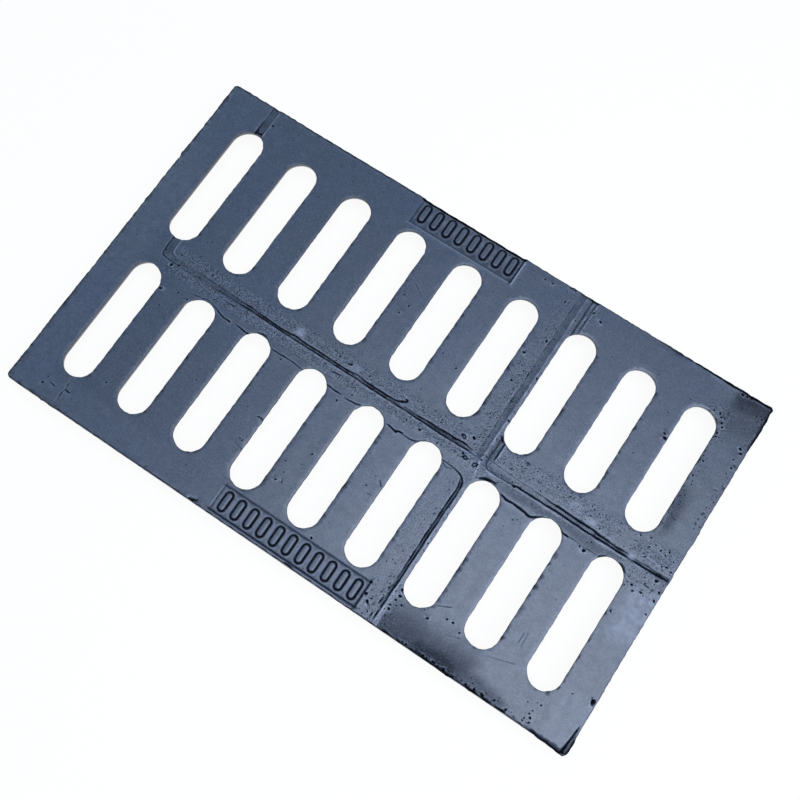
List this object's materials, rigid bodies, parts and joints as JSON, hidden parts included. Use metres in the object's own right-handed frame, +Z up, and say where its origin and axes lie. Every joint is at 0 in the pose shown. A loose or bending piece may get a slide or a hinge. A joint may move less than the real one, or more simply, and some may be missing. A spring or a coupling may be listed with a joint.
{
  "type": "ductile iron channel cover",
  "caption": "Flat rectangular cast iron drain channel cover with rows of round-ended slots through its deck, shallow field grooves, and a ribbed underside with a bearing skirt.",
  "frame": {"origin": "centre of the bearing rim at the underside, on the floor plane", "axes": "+X along the long side, +Y across the cover from the near edge to the far edge, +Z up through the deck"},
  "size_m": [0.4998, 0.2998, 0.025],
  "materials": {
    "painted_iron": "sand-cast ductile iron under a satin blue-grey black bitumen dip"
  },
  "bodies": {
    "root": {"channel_cover": "painted_iron"}
  },
  "joints": []
}
